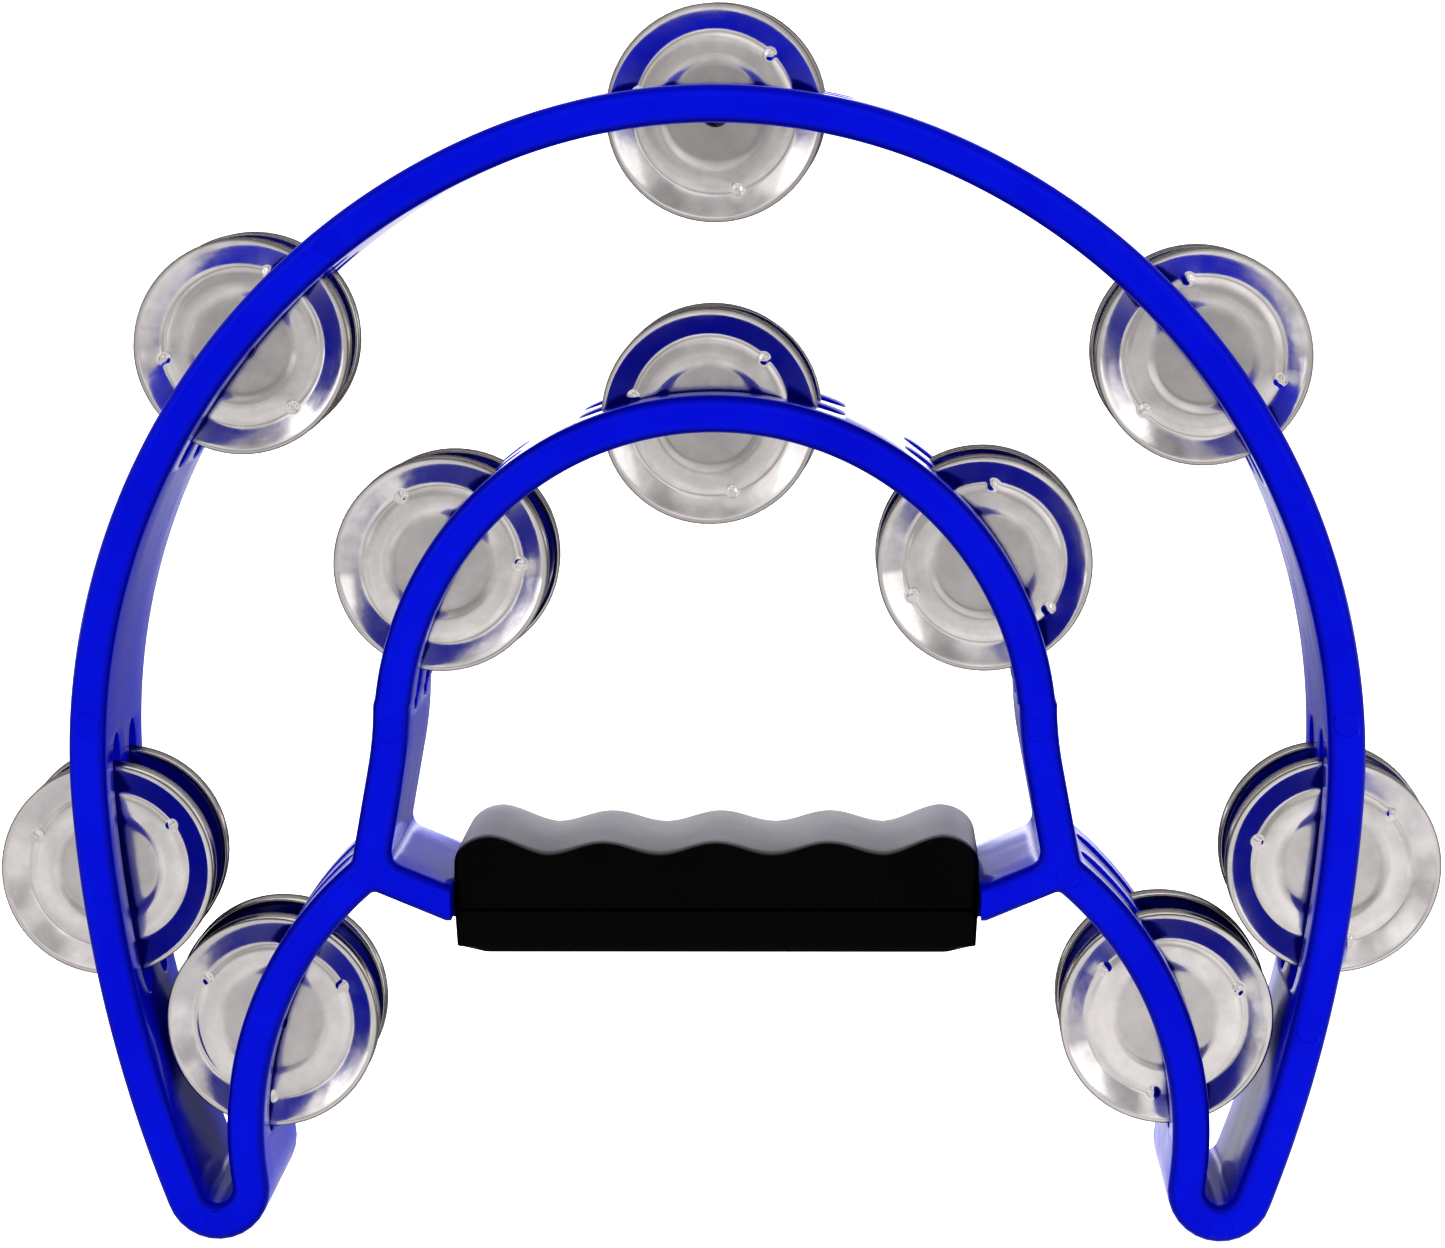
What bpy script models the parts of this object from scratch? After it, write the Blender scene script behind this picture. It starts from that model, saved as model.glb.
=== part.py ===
"""Half-moon tambourine: a moulded plastic frame, a rubber grip and twenty pairs of steel jingles.

X runs to the right, Y to the back and Z up, in metres. The frame stands on its two horn tips,
and the origin is on the floor, midway between the horns and midway through the frame's depth.
"""
import math

import bmesh
import bpy
from mathutils import Vector

MM = 0.001
GAP = 0.3 * MM  # between neighbours that touch in the real object

# Frame: bands of one depth, drawn by their centre lines in the XZ plane
DEPTH = 45.0 * MM
WALL = 7.0 * MM
BAR_WALL = 6.6 * MM
CROWN_RADIUS, CROWN_TURN = 107.2 * MM, 22.1
SHOULDER_RADIUS, SHOULDER_TURN = 123.7 * MM, 71.4
FLANK_RADIUS, FLANK_TURN = 257.6 * MM, 17.4
HORN_RADIUS, HORN_TURN = 6.4 * MM, 167.9
PRONG_RADIUS, PRONG_TURN = 64.5 * MM, 60.2
ARCH_RADIUS = 60.3 * MM
ARCH_DROP = 56.9 * MM  # from the crown of the outer band to the crown of the inner arch
KNEE_REACH = 6.0 * MM  # rounding where the arch meets its straight legs
INNER_FILLET = 2.5 * MM

# Handle: the frame's crossbar, thinned inside a grip of two rubber shells
BAR_HEIGHT = 64.9 * MM
GRIP_HALF_LENGTH = 49.4 * MM
LOWER_SETBACK = 0.4 * MM  # the lower shell is this much shorter at each end
GRIP_DEPTH = 39.0 * MM
CORE_DEPTH = 33.0 * MM
SEAM_HEIGHT = 63.5 * MM
GRIP_BOTTOM = 55.1 * MM
BOTTOM_CHAMFER = 1.3 * MM
END_CHAMFER = 5.6 * MM
WAVE_MEAN, WAVE_HEIGHT = 75.1 * MM, 1.0 * MM
WAVE_PITCH = 21.2 * MM  # one finger groove
END_LOBE_RISE = 1.2 * MM
END_LOBE_DROP = 5.8 * MM
CREST_CROWN = 0.2 * MM  # rise of a crest from its front edge to mid-depth
GROOVE_CROWN = 0.5 * MM  # the same rise along the bottom of a groove
TOP_ROUND = 1.2 * MM

# Jingle stations: a slot for each row, and one pin through both
ROW_OFFSET = 9.2 * MM
SLOT_WIDTH = 8.0 * MM
SLOT_END = 5.5 * MM  # length of each rounded end
SLOT_REACH = 1.6 * MM  # how far a slot's cutter stands past the wall's faces
PIN_RADIUS = 1.0 * MM
PIN_FRONT_STOP = 3.0 * MM  # the pin hole is blind at the front rim
PIN_REAR_RECESS = 0.5 * MM
JINGLE_RADIUS = 20.2 * MM
JINGLE_HOLE = 2.1 * MM
JINGLE_CREASE = 14.8 * MM
JINGLE_RISE = 2.2 * MM
SHEET = 0.6 * MM
PAIR_GAP = 0.9 * MM  # between the flat backs of the two jingles of a pair

# Places along the centre line, counted to the right from the crown
BAND_STATIONS = {
    "crown": 0.5 * MM,
    "shoulder_left": -101.5 * MM,
    "shoulder_right": 105.5 * MM,
    "flank_left": -207.9 * MM,
    "flank_right": 207.3 * MM,
    "horn_left": -323.8 * MM,
    "horn_right": 324.8 * MM,
}
ARCH_STATIONS = {"arch_top": -0.5 * MM, "arch_left": -60.3 * MM, "arch_right": 59.8 * MM}
# From a pin to its slot's two ends: back towards the line's middle, and on away from it
SLOT_REACHES = {
    "crown": (25.0 * MM, 25.0 * MM),
    "shoulder": (25.0 * MM, 28.0 * MM),
    "flank": (25.0 * MM, 27.0 * MM),
    "horn": (34.0 * MM, 25.0 * MM),
    "arch_top": (25.0 * MM, 25.0 * MM),
    "arch": (25.0 * MM, 31.0 * MM),
}

ARC_STEP = 5.0  # degrees
SMALL_ARC_STEP = 18.0
WAVE_STEPS = 24
JINGLE_SIDES = 16
PIN_SIDES = 10


def clear_scene():
    for item in list(bpy.data.objects):
        bpy.data.objects.remove(item, do_unlink=True)


def make_material(name, colour, roughness, metallic=0.0):
    material = bpy.data.materials.new(name)
    material.use_nodes = True
    shader = material.node_tree.nodes["Principled BSDF"]
    shader.inputs["Base Color"].default_value = (*colour, 1.0)
    shader.inputs["Roughness"].default_value = roughness
    shader.inputs["Metallic"].default_value = metallic
    return material


def add_object(name, mesh, material=None, location=(0.0, 0.0, 0.0)):
    item = bpy.data.objects.new(name, mesh)
    item.location = location
    if material:
        mesh.materials.clear()
        mesh.materials.append(material)
    bpy.context.collection.objects.link(item)
    return item


def mesh_from(name, vertices, faces):
    mesh = bpy.data.meshes.new(name)
    mesh.from_pydata([tuple(v) for v in vertices], [], faces)
    solid = bmesh.new()
    solid.from_mesh(mesh)
    bmesh.ops.recalc_face_normals(solid, faces=solid.faces)
    solid.to_mesh(mesh)
    solid.free()
    return mesh


def cut(target, cutter):
    cutter.hide_render = True
    cutter.display_type = "WIRE"
    boolean = target.modifiers.new(cutter.name, "BOOLEAN")
    boolean.operation = "DIFFERENCE"
    boolean.object = cutter


# Centre lines. A line is a list of (point, heading): Vector((x, z)) and radians from +X.

def left_of(heading):
    return Vector((-math.sin(heading), math.cos(heading)))


def add_arc(line, radius, turn, step=ARC_STEP):
    """Extend the line by an arc. A positive turn, in degrees, bends to the left."""
    point, heading = line[-1]
    side = math.copysign(radius, turn)
    centre = point + side * left_of(heading)
    count = math.ceil(abs(turn) / step)
    for i in range(1, count + 1):
        angle = heading + math.radians(turn) * i / count
        line.append((centre - side * left_of(angle), angle))


def band_line():
    """The right half of the outer band: crown, flank, horn tip and up the prong to the junction."""
    line = [(Vector((0.0, 0.0)), 0.0)]
    add_arc(line, CROWN_RADIUS, -CROWN_TURN)
    add_arc(line, SHOULDER_RADIUS, -SHOULDER_TURN)
    add_arc(line, FLANK_RADIUS, -FLANK_TURN)
    add_arc(line, HORN_RADIUS, -HORN_TURN, SMALL_ARC_STEP)
    add_arc(line, PRONG_RADIUS, PRONG_TURN)
    lift = WALL / 2 - min(point.y for point, heading in line)
    return [(point + Vector((0.0, lift)), heading) for point, heading in line]


def arch_line(crown, junction):
    """The right half of the inner arch, with its straight leg down to the junction."""
    line = [(crown, 0.0)]
    add_arc(line, ARCH_RADIUS, -90.0)
    knee = line.pop()[0]
    leg = (junction - knee).normalized()
    before = line[-1][0]
    start = knee + (before - knee).normalized() * KNEE_REACH
    end = knee + leg * KNEE_REACH
    while line[-1][0].y < start.y:
        line.pop()
    line += bend(start, knee, end)
    line.append((junction, math.atan2(leg.y, leg.x)))
    return line


def bend(start, corner, end, count=4):
    """Points of a rounded corner, with their headings."""
    line = []
    for i in range(count + 1):
        t = i / count
        point = (1 - t) ** 2 * start + 2 * t * (1 - t) * corner + t * t * end
        way = (1 - t) * (corner - start) + t * (end - corner)
        line.append((point, math.atan2(way.y, way.x)))
    return line


def bar_line(junction):
    """The right half of the handle bar, from the junction to the middle."""
    elbow = Vector((GRIP_HALF_LENGTH + 2 * GAP, BAR_HEIGHT))
    slope = elbow - junction
    flat = math.pi
    slant = math.atan2(slope.y, slope.x)
    mitre = (flat + slant % (2 * math.pi)) / 2
    return [(junction, slant), (elbow, mitre), (Vector((0.0, BAR_HEIGHT)), flat)]


def offset(line, distance):
    """The line's points, moved to its left. A sharp corner is mitred."""
    moved = []
    for i, (point, heading) in enumerate(line):
        stretch = 1.0
        if 0 < i < len(line) - 1:
            before = (point - line[i - 1][0]).normalized()
            after = (line[i + 1][0] - point).normalized()
            stretch = 1.0 / math.sqrt((1 + before.dot(after)) / 2)
        moved.append(point + left_of(heading) * distance * stretch)
    return moved


def crossing(first, second):
    """Where two open polylines cross: the point and the index of the segment in each."""
    for i in range(len(first) - 1):
        for j in range(len(second) - 1):
            a, b = first[i], first[i + 1] - first[i]
            c, d = second[j], second[j + 1] - second[j]
            area = b.x * d.y - b.y * d.x
            if abs(area) < 1e-15:
                continue
            t = ((c.x - a.x) * d.y - (c.y - a.y) * d.x) / area
            u = ((c.x - a.x) * b.y - (c.y - a.y) * b.x) / area
            if 0 <= t <= 1 and 0 <= u <= 1:
                return a + t * b, i, j
    raise ValueError("the lines do not cross")


def joined(first, second, fillet=0.0):
    """First up to where it crosses second, then second from there on, with a rounded corner."""
    point, i, j = crossing(first, second)
    head, tail = first[: i + 1], second[j + 1 :]
    if not fillet:
        return head + [point] + tail
    back = (head[-1] - point).normalized() * fillet
    ahead = (tail[0] - point).normalized() * fillet
    corner = [p for p, heading in bend(point + back, point, point + ahead)]
    return head + corner + tail


def both_sides(half):
    """A closed loop from its right half, whose ends lie on the middle plane."""
    return half + [Vector((-p.x, p.y)) for p in reversed(half[1:-1])]


def place_on(line, distance):
    """The point and heading at a signed distance along a line that starts on the middle plane."""
    left = abs(distance)
    for (a, ha), (b, hb) in zip(line, line[1:]):
        length = (b - a).length
        if left <= length:
            break
        left -= length
    t = left / length
    sagitta = length * (hb - ha) / 8 * 4 * t * (1 - t)
    heading = ha + (hb - ha) * t
    point = a.lerp(b, t) - left_of(heading) * sagitta
    if distance < 0:
        return Vector((-point.x, point.y)), -heading
    return point, heading


# Solids

def extrude_loops(name, loops, depth):
    """A flat outline with holes, of the given depth: the first loop is the outside."""
    solid = bmesh.new()
    edges = []
    for loop in loops:
        ring = [solid.verts.new((p.x, -depth / 2, p.y)) for p in loop]
        edges += [solid.edges.new(pair) for pair in zip(ring, ring[1:] + ring[:1])]
    bmesh.ops.triangle_fill(solid, use_beauty=True, use_dissolve=False, edges=edges)
    grown = bmesh.ops.extrude_face_region(solid, geom=solid.faces[:])
    back = [v for v in grown["geom"] if isinstance(v, bmesh.types.BMVert)]
    bmesh.ops.translate(solid, verts=back, vec=(0.0, depth, 0.0))
    bmesh.ops.recalc_face_normals(solid, faces=solid.faces)
    mesh = bpy.data.meshes.new(name)
    solid.to_mesh(mesh)
    solid.free()
    return mesh


def loft(sections):
    """Vertices and faces of a closed solid through sections of equal numbers of points."""
    count = len(sections[0])
    vertices = [point for section in sections for point in section]
    faces = [list(range(count))[::-1], [len(vertices) - count + i for i in range(count)]]
    for k in range(len(sections) - 1):
        for i in range(count):
            j = (i + 1) % count
            faces.append([k * count + i, k * count + j, (k + 1) * count + j, (k + 1) * count + i])
    return vertices, faces


def revolve(name, profile, sides):
    """Turn a closed profile of (radius, y) about the Y axis."""
    count = len(profile)
    vertices, faces = [], []
    for k in range(sides):
        angle = 2 * math.pi * k / sides
        vertices += [(r * math.cos(angle), y, r * math.sin(angle)) for r, y in profile]
        after = (k + 1) % sides
        for i in range(count):
            j = (i + 1) % count
            faces.append([k * count + i, k * count + j, after * count + j, after * count + i])
    return mesh_from(name, vertices, faces)


def rod(name, radius, start, end, sides):
    """A solid rod about the Y axis."""
    ring = [2 * math.pi * k / sides for k in range(sides)]
    sections = [[(radius * math.cos(a), y, radius * math.sin(a)) for a in ring] for y in (start, end)]
    return mesh_from(name, *loft(sections))


def smooth(mesh):
    mesh.shade_smooth()
    mesh.set_sharp_from_angle(angle=math.radians(30))


def slot_span(name, distance):
    """The middle and half-length of a station's slots, along its line."""
    back, on = SLOT_REACHES.get(name) or SLOT_REACHES[name.split("_")[0]]
    return distance + math.copysign((on - back) / 2, distance), (back + on) / 2


def slot_sections(line, span, row):
    """Rectangles across the wall, along one slot: wide in the middle, round at both ends."""
    middle, half_length = span
    straight = half_length - SLOT_END
    runs = [(straight * k / 2, 1.0) for k in (-2, -1, 0, 1, 2)]
    ends = [math.radians(a) for a in (40, 80)]
    rounded = [(straight + SLOT_END * math.sin(a), math.cos(a)) for a in ends]
    runs = [(-s, w) for s, w in reversed(rounded)] + runs + rounded
    reach = WALL / 2 + SLOT_REACH
    sections = []
    for along, share in runs:
        point, heading = place_on(line, middle + along)
        out = left_of(heading) * reach
        half = SLOT_WIDTH / 2 * share
        corners = [(-1, -1), (1, -1), (1, 1), (-1, 1)]
        sections.append([(point.x + n * out.x, row + w * half, point.y + n * out.y) for n, w in corners])
    return sections


def merged(name, solids):
    """One cutter mesh of several closed solids that stay apart."""
    vertices, faces = [], []
    for points, rings in solids:
        start = len(vertices)
        vertices += points
        faces += [[start + i for i in ring] for ring in rings]
    return mesh_from(name, vertices, faces)


def box(low, high):
    x0, y0, z0 = low
    x1, y1, z1 = high
    sections = [[(x0, y, z0), (x1, y, z0), (x1, y, z1), (x0, y, z1)] for y in (y0, y1)]
    return loft(sections)


# Parts

def make_frame(lines, stations, material):
    band, arch, bar = lines
    outer = joined(offset(band, WALL / 2), offset(bar, BAR_WALL / 2))
    prong_side = offset(band, -WALL / 2)
    leg_side = list(reversed(offset(arch, WALL / 2)))
    crescent = joined(prong_side, leg_side)
    window = joined(offset(arch, -WALL / 2), offset(bar, -BAR_WALL / 2), INNER_FILLET)
    loops = [both_sides(loop) for loop in (outer, crescent, window)]
    frame = add_object("frame", extrude_loops("frame", loops, DEPTH), material)

    slots, holes = [], []
    for name, (line, distance, point) in stations.items():
        span = slot_span(name, distance)
        slots += [loft(slot_sections(line, span, row)) for row in (-ROW_OFFSET, ROW_OFFSET)]
        ring = [2 * math.pi * k / PIN_SIDES for k in range(PIN_SIDES)]
        radius = PIN_RADIUS + GAP
        ends = (PIN_FRONT_STOP - DEPTH / 2, DEPTH / 2 + GAP)
        holes.append(loft([
            [(point.x + radius * math.cos(a), y, point.y + radius * math.sin(a)) for a in ring] for y in ends
        ]))
    cut(frame, add_object("cut_slots", merged("cut_slots", slots)))
    cut(frame, add_object("cut_pin_holes", merged("cut_pin_holes", holes)))

    half = GRIP_HALF_LENGTH + GAP
    low, high = BAR_HEIGHT - BAR_WALL, BAR_HEIGHT + BAR_WALL
    rebates = [
        box((-half, side * DEPTH / 2 - (DEPTH - CORE_DEPTH) / 2, low),
            (half, side * DEPTH / 2 + (DEPTH - CORE_DEPTH) / 2, high))
        for side in (-1, 1)
    ]
    cut(frame, add_object("cut_grip_seat", merged("cut_grip_seat", rebates)))


def channel_cutter(name, low, high):
    reach = CORE_DEPTH / 2 + GAP
    return add_object(name, mesh_from(name, *box((-DEPTH * 2, -reach, low), (DEPTH * 2, reach, high))))


def wave_top():
    """The finger grooves from left to right, with a higher round lobe at each end."""
    points = []
    last_crest = 2 * WAVE_PITCH
    last_groove = 1.5 * WAVE_PITCH
    for i in range(WAVE_STEPS + 1):
        x = -last_crest + 2 * last_crest * i / WAVE_STEPS
        lobe = END_LOBE_RISE * max(0.0, abs(x) - last_groove) / (last_crest - last_groove)
        points.append((x, WAVE_MEAN + WAVE_HEIGHT * math.cos(2 * math.pi * x / WAVE_PITCH) + lobe))
    crest = points[-1][1]
    width = GRIP_HALF_LENGTH - last_crest
    falls = [math.radians(a) for a in (25, 50, 75, 90)]
    end = [(last_crest + width * math.sin(a), crest - END_LOBE_DROP * (1 - math.cos(a))) for a in falls]
    return [(-x, z) for x, z in reversed(end)] + points + end


def crown_at(x):
    """The top's rise at mid-depth: most along the grooves, least along the crests and the ends."""
    if abs(x) >= 2 * WAVE_PITCH:
        return CREST_CROWN
    groove = (1 - math.cos(2 * math.pi * x / WAVE_PITCH)) / 2
    return CREST_CROWN + (GROOVE_CROWN - CREST_CROWN) * groove


def make_grip_upper(material):
    floor = SEAM_HEIGHT + GAP / 2
    top = wave_top()
    half = GRIP_DEPTH / 2
    sections = []
    for y in (-half, -half + TOP_ROUND, -half / 2, 0.0, half / 2, half - TOP_ROUND, half):
        bulge = 1 - (y / half) ** 2
        edge = TOP_ROUND if abs(y) == half else 0.0
        across = [(x, y, z + crown_at(x) * bulge - edge) for x, z in top]
        sections.append([(-GRIP_HALF_LENGTH, y, floor), *across, (GRIP_HALF_LENGTH, y, floor)])
    mesh = mesh_from("grip_upper", *loft(sections))
    smooth(mesh)
    shell = add_object("grip_upper", mesh, material)
    cut(shell, channel_cutter("cut_upper_channel", 0.0, BAR_HEIGHT + BAR_WALL / 2 + GAP))


def make_grip_lower(material):
    roof = SEAM_HEIGHT - GAP / 2
    length = GRIP_HALF_LENGTH - LOWER_SETBACK
    half = GRIP_DEPTH / 2
    sections = []
    for y in (-half, -half + BOTTOM_CHAMFER, half - BOTTOM_CHAMFER, half):
        floor = GRIP_BOTTOM + (BOTTOM_CHAMFER if abs(y) == half else 0.0)
        corner = GRIP_BOTTOM + BOTTOM_CHAMFER
        inner = length - END_CHAMFER
        outline = [(-length, roof), (-length, corner + GAP), (-inner, floor)]
        outline += [(-x, z) for x, z in reversed(outline)]
        sections.append([(x, y, z) for x, z in outline])
    mesh = mesh_from("grip_lower", *loft(sections))
    shell = add_object("grip_lower", mesh, material)
    cut(shell, channel_cutter("cut_lower_channel", BAR_HEIGHT - BAR_WALL / 2 - GAP, 2 * BAR_HEIGHT))


def make_pins(stations, material):
    start = PIN_FRONT_STOP - DEPTH / 2 + GAP
    end = DEPTH / 2 - PIN_REAR_RECESS
    mesh = rod("pin", PIN_RADIUS, start, end, PIN_SIDES)
    smooth(mesh)
    for name, (line, distance, point) in stations.items():
        add_object("pin_" + name, mesh, material, (point.x, 0.0, point.y))


def make_jingles(stations, material):
    """Dished discs in pairs, back to back, with their rims flaring away from each other."""
    profile = [
        (JINGLE_HOLE, 0.0),
        (JINGLE_CREASE, 0.0),
        (JINGLE_RADIUS, SHEET - JINGLE_RISE),
        (JINGLE_RADIUS, -JINGLE_RISE),
        (JINGLE_CREASE, -SHEET),
        (JINGLE_HOLE, -SHEET),
    ]
    mesh = revolve("jingle", profile, JINGLE_SIDES)
    smooth(mesh)
    for name, (line, distance, point) in stations.items():
        for row_name, row in (("front", -ROW_OFFSET), ("rear", ROW_OFFSET)):
            for number, side in ((1, -1), (2, 1)):
                place = (point.x, row + side * PAIR_GAP / 2, point.y)
                jingle = add_object(f"jingle_{name}_{row_name}_{number}", mesh, material, place)
                jingle.rotation_euler.z = math.pi if side > 0 else 0.0


def main():
    clear_scene()
    blue_plastic = make_material("blue_plastic", (0.0, 0.003, 0.6), 0.22)
    black_rubber = make_material("black_rubber", (0.012, 0.012, 0.012), 0.55)
    jingle_steel = make_material("jingle_steel", (0.78, 0.76, 0.74), 0.12, 1.0)
    pin_steel = make_material("pin_steel", (0.5, 0.5, 0.5), 0.3, 1.0)

    band = band_line()
    junction = band[-1][0]
    arch = arch_line(band[0][0] - Vector((0.0, ARCH_DROP)), junction)
    bar = bar_line(junction)

    stations = {}
    for line, places in ((band, BAND_STATIONS), (arch, ARCH_STATIONS)):
        for name, distance in places.items():
            stations[name] = (line, distance, place_on(line, distance)[0])

    make_frame((band, arch, bar), stations, blue_plastic)
    make_grip_upper(black_rubber)
    make_grip_lower(black_rubber)
    make_pins(stations, pin_steel)
    make_jingles(stations, jingle_steel)


main()
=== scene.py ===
"""Half-moon tambourine: finished surfaces, materials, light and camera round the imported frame.

X runs to the right, Y to the back and Z up, in metres. The outline is the design's, drawn finer.
"""
import math
import random

import bmesh
import bpy
from mathutils import Matrix, Vector


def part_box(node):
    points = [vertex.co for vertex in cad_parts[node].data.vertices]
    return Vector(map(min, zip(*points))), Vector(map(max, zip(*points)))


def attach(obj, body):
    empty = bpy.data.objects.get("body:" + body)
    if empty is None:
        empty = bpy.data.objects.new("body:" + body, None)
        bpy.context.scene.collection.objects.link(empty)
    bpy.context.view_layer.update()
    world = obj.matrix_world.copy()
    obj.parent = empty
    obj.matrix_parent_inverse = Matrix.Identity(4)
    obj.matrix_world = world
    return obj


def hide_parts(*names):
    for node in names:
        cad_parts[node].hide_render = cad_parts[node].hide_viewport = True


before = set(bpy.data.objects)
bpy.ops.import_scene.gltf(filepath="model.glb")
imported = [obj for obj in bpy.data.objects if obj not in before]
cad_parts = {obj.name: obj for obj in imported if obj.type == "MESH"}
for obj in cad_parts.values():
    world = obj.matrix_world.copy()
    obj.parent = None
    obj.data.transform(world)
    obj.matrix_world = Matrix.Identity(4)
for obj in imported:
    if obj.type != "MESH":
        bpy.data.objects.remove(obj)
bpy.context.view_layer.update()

MM = 0.001
WELD = 0.01 * MM
SHARP = 35.0  # degrees between two faces whose edge is shown sharp

# Frame: bands of one depth, drawn by their centre lines in the XZ plane
DEPTH = 45.0 * MM
WALL = 7.0 * MM
BAR_WALL = 6.6 * MM
CROWN_RADIUS, CROWN_TURN = 107.2 * MM, 22.1
SHOULDER_RADIUS, SHOULDER_TURN = 123.7 * MM, 71.4
FLANK_RADIUS, FLANK_TURN = 257.6 * MM, 17.4
HORN_RADIUS, HORN_TURN = 6.4 * MM, 167.9
PRONG_RADIUS, PRONG_TURN = 64.5 * MM, 60.2
ARCH_RADIUS = 60.3 * MM
ARCH_DROP = 56.9 * MM
KNEE_REACH = 6.0 * MM
INNER_FILLET = 2.5 * MM  # in the window's corners
CORNER_FILLET = 0.9 * MM  # in the other corners of the frame
BAR_HEIGHT = 64.9 * MM
CORE_DEPTH = 33.0 * MM

# Rims, slots and moulding marks
RIM_ROUND = 2.2 * MM
RIM_FLAT = 0.12 * MM  # flat strip beside the rounding, which keeps the rim's shading flat
RIM_STEPS = 9
COLUMN_STEP = 1.4 * MM
ARC_STEP = 0.5  # degrees
ROW_OFFSET = 9.2 * MM
SLOT_WIDTH = 8.0 * MM
SLOT_END = 5.5 * MM
SLOT_END_STEPS = 9
SLOT_STEPS = 28
SLOT_EDGE = 0.35 * MM
SLOT_EDGE_STEPS = 3
MARK_RADIUS = 2.35 * MM
MARK_DEPTH = 0.12 * MM
MARK_WALL = 0.05 * MM  # between a mark's pad and the recess round it
MARK_FOOT = 2.0 * MM
MARK_PROUD = 0.005 * MM  # keeps a pad's top off the recess's floor
MARK_SIDES = 48
BAND_MARKS = [side * place * MM for place in (76.0, 136.4, 180.2, 238.7, 281.5, 359.0) for side in (-1, 1)]
ARCH_MARKS = [side * 93.4 * MM for side in (-1, 1)]

# Pins
PIN_RADIUS = 1.0 * MM
PIN_HOLE = 1.3 * MM
PIN_FRONT_STOP = 3.0 * MM
PIN_SIDES = 32

# Grip
GRIP_HALF_LENGTH = 49.4 * MM
GRIP_DEPTH = 39.0 * MM
GRIP_CLEARANCE = 0.3 * MM
SEAM_HEIGHT = 63.5 * MM
GRIP_BOTTOM = 55.1 * MM
BOTTOM_CHAMFER = 1.3 * MM
END_CHAMFER = 5.6 * MM
BASE_SET_IN = 0.2 * MM  # how much shorter the base is than the top, at each end
BASE_EDGE = 0.25 * MM
BASE_DRAFT = 0.992  # how the base's ends draw in towards the bottom
BASE_STEPS = 60
WAVE_MEAN, WAVE_HEIGHT = 75.1 * MM, 1.0 * MM
WAVE_PITCH = 21.2 * MM
WAVE_STEPS = 120
END_LOBE_RISE, END_LOBE_DROP = 1.2 * MM, 5.8 * MM
CREST_CROWN, GROOVE_CROWN = 0.2 * MM, 0.5 * MM
CREST_LIP, GROOVE_LIP = 0.8 * MM, 1.2 * MM  # radius of the top's long edges
LIP_STEPS, TOP_STEPS = 6, 7
SEAM_CHAMFER = 0.15 * MM
GRIP_TAPER = 2.3 * MM  # how far each long face leans in from the seam to the top
END_ROUND = 1.6 * MM  # radius of the grip's upright corners

# Jingles
JINGLE_RADIUS = 20.2 * MM
JINGLE_HOLE = 2.45 * MM
JINGLE_CREASE = 14.8 * MM
SHEET = 0.4 * MM
PAIR_GAP = 0.9 * MM
DIMPLES = 3
DIMPLE_RISE = 0.5 * MM
DIMPLE_RADIUS = 1.35 * MM
DIMPLE_SKIRT = 2.4 * MM
SKIRT_SHARE = 0.22  # of a dimple's rise, for the shallow swelling round it
HANG = 1.75 * MM  # how far a hidden jingle's middle hangs below its pin's
SWING = 12  # degrees either way that a hidden jingle hangs out of plumb
PAIR_LEAN, OWN_LEAN = 0.45, 0.15  # degrees that a pair leans, and each jingle of it on its own

BAND_STATIONS = {
    "crown": 0.5 * MM,
    "shoulder_left": -101.5 * MM,
    "shoulder_right": 105.5 * MM,
    "flank_left": -207.9 * MM,
    "flank_right": 207.3 * MM,
    "horn_left": -323.8 * MM,
    "horn_right": 324.8 * MM,
}
ARCH_STATIONS = {"arch_top": -0.5 * MM, "arch_left": -60.3 * MM, "arch_right": 59.8 * MM}
# From a pin to its slot's two ends: back towards the line's middle, and on away from it
SLOT_REACHES = {
    "crown": (25.0 * MM, 25.0 * MM),
    "shoulder": (25.0 * MM, 28.0 * MM),
    "flank": (24.2 * MM, 27.0 * MM),
    "horn": (34.0 * MM, 24.0 * MM),
    "arch_top": (24.0 * MM, 24.0 * MM),
    "arch": (24.0 * MM, 31.0 * MM),
}
ROWS = {"front": -ROW_OFFSET, "rear": ROW_OFFSET}

# How the front jingle of each station lies: the turn of its dimples in degrees, and how far its
# middle is from the pin's, to the right and up
FRONT_JINGLES = {
    "crown": (46, 0.0, -1.9 * MM),
    "shoulder_left": (69, 0.18 * MM, -1.9 * MM),
    "shoulder_right": (102, 0.13 * MM, -1.41 * MM),
    "flank_left": (35, 0.36 * MM, -1.8 * MM),
    "flank_right": (42, 0.0, -1.76 * MM),
    "horn_left": (27, 0.65 * MM, -1.8 * MM),
    "horn_right": (21, -0.29 * MM, -1.85 * MM),
    "arch_top": (46, -0.33 * MM, -1.3 * MM),
    "arch_left": (0, -0.8 * MM, -1.3 * MM),
    "arch_right": (84, 0.03 * MM, -1.79 * MM),
}

# Camera
CAMERA_PLACE = (0.02735, -0.83382, 0.22786)
CAMERA_TILT, CAMERA_TURN, CAMERA_ROLL = 82.293, 1.811, -0.340
SENSOR_WIDTH, LENS = 36.0, 110.12

rng = random.Random(7)


# Centre lines. A line is a list of (point, heading): Vector((x, z)) and radians from +X.

def left_of(heading):
    return Vector((-math.sin(heading), math.cos(heading)))


def add_arc(line, radius, turn):
    """Extend the line by an arc. A positive turn, in degrees, bends to the left."""
    point, heading = line[-1]
    side = math.copysign(radius, turn)
    centre = point + side * left_of(heading)
    count = max(math.ceil(abs(turn) / ARC_STEP), 1)
    for i in range(1, count + 1):
        angle = heading + math.radians(turn) * i / count
        line.append((centre - side * left_of(angle), angle))


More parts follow.
